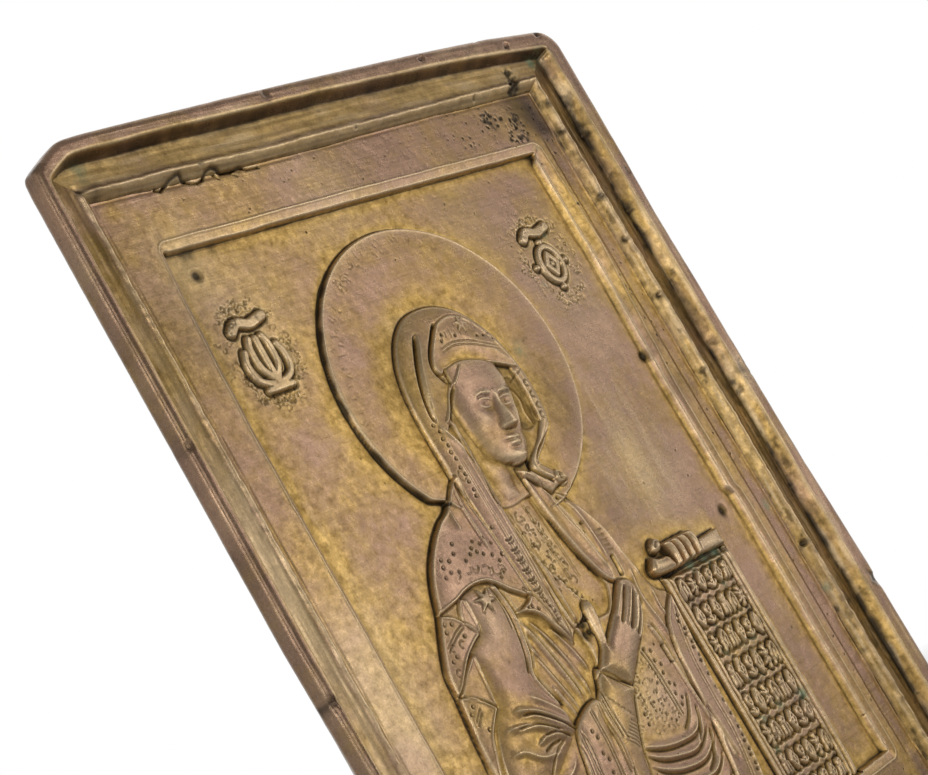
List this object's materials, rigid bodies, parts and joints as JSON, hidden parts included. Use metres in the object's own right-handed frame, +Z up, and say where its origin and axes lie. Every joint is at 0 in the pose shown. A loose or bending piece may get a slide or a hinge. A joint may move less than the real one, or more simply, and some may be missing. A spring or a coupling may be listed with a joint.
{
  "type": "bronze icon",
  "caption": "Cast bronze icon plaque with a veiled half-length figure holding a scroll in low relief, in a raised moulding frame.",
  "frame": {"origin": "middle of the flat back, on the plate's back face", "axes": "+X to the viewer's right, +Z up, and the front looks along -Y"},
  "size_m": [0.1226, 0.0066, 0.1545],
  "materials": {
    "relief_brass": "cast and chased, rubbed pinkish brown on the high parts, ochre and near black in the recesses",
    "frame_brass": "cast and filed, grey-mauve patina on the rim, ochre in the grooves, yellow metal on worn edges"
  },
  "bodies": {
    "root": {"icon_plate": "relief_brass", "frame_top": "frame_brass", "frame_bottom": "frame_brass", "frame_left": "frame_brass", "frame_right": "frame_brass"}
  },
  "joints": []
}
